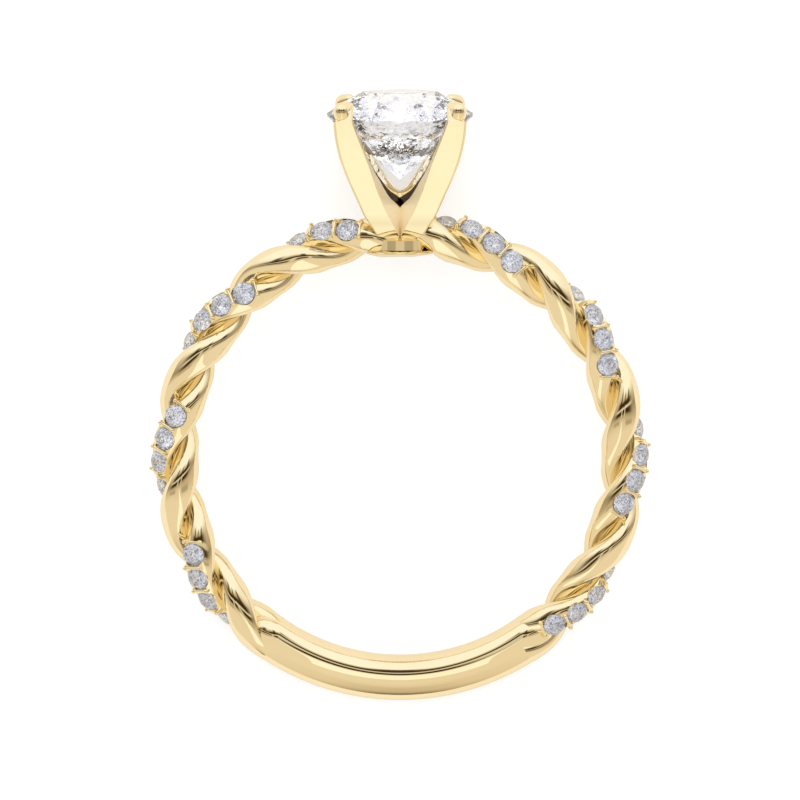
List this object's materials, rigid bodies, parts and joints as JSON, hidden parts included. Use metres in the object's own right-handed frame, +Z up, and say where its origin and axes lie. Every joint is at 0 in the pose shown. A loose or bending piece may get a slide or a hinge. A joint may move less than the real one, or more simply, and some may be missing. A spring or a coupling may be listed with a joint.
{
  "type": "engagement ring",
  "caption": "Finger ring with a round cut stone held in claws above a twisted two-strand gold shank, one strand set with small stones, closing in a plain band.",
  "frame": {"origin": "the point where the finger axis meets the flat surface that the ring lies on", "axes": "+Z up from that surface, +Y from the finger axis towards the head with the large stone, +X to the right when the head points away from the viewer and the set side of the twist faces up"},
  "size_m": [0.0214, 0.0263, 0.0062],
  "materials": {
    "gold": "polished yellow gold",
    "stone": "polished clear cut stone"
  },
  "bodies": {
    "root": {"ring_gold": "gold", "center_stone": "stone", "accent_stone_01": "stone", "accent_stone_02": "stone", "accent_stone_03": "stone", "accent_stone_04": "stone", "accent_stone_05": "stone", "accent_stone_06": "stone", "accent_stone_07": "stone", "accent_stone_08": "stone", "accent_stone_09": "stone", "accent_stone_10": "stone", "accent_stone_11": "stone", "accent_stone_12": "stone", "accent_stone_13": "stone", "accent_stone_14": "stone", "accent_stone_15": "stone", "accent_stone_16": "stone", "accent_stone_17": "stone", "accent_stone_18": "stone", "accent_stone_19": "stone", "accent_stone_20": "stone", "accent_stone_21": "stone", "accent_stone_22": "stone", "accent_stone_23": "stone", "accent_stone_24": "stone", "accent_stone_25": "stone", "accent_stone_26": "stone", "accent_stone_27": "stone", "accent_stone_28": "stone", "accent_stone_29": "stone", "accent_stone_30": "stone", "accent_stone_31": "stone"}
  },
  "joints": []
}
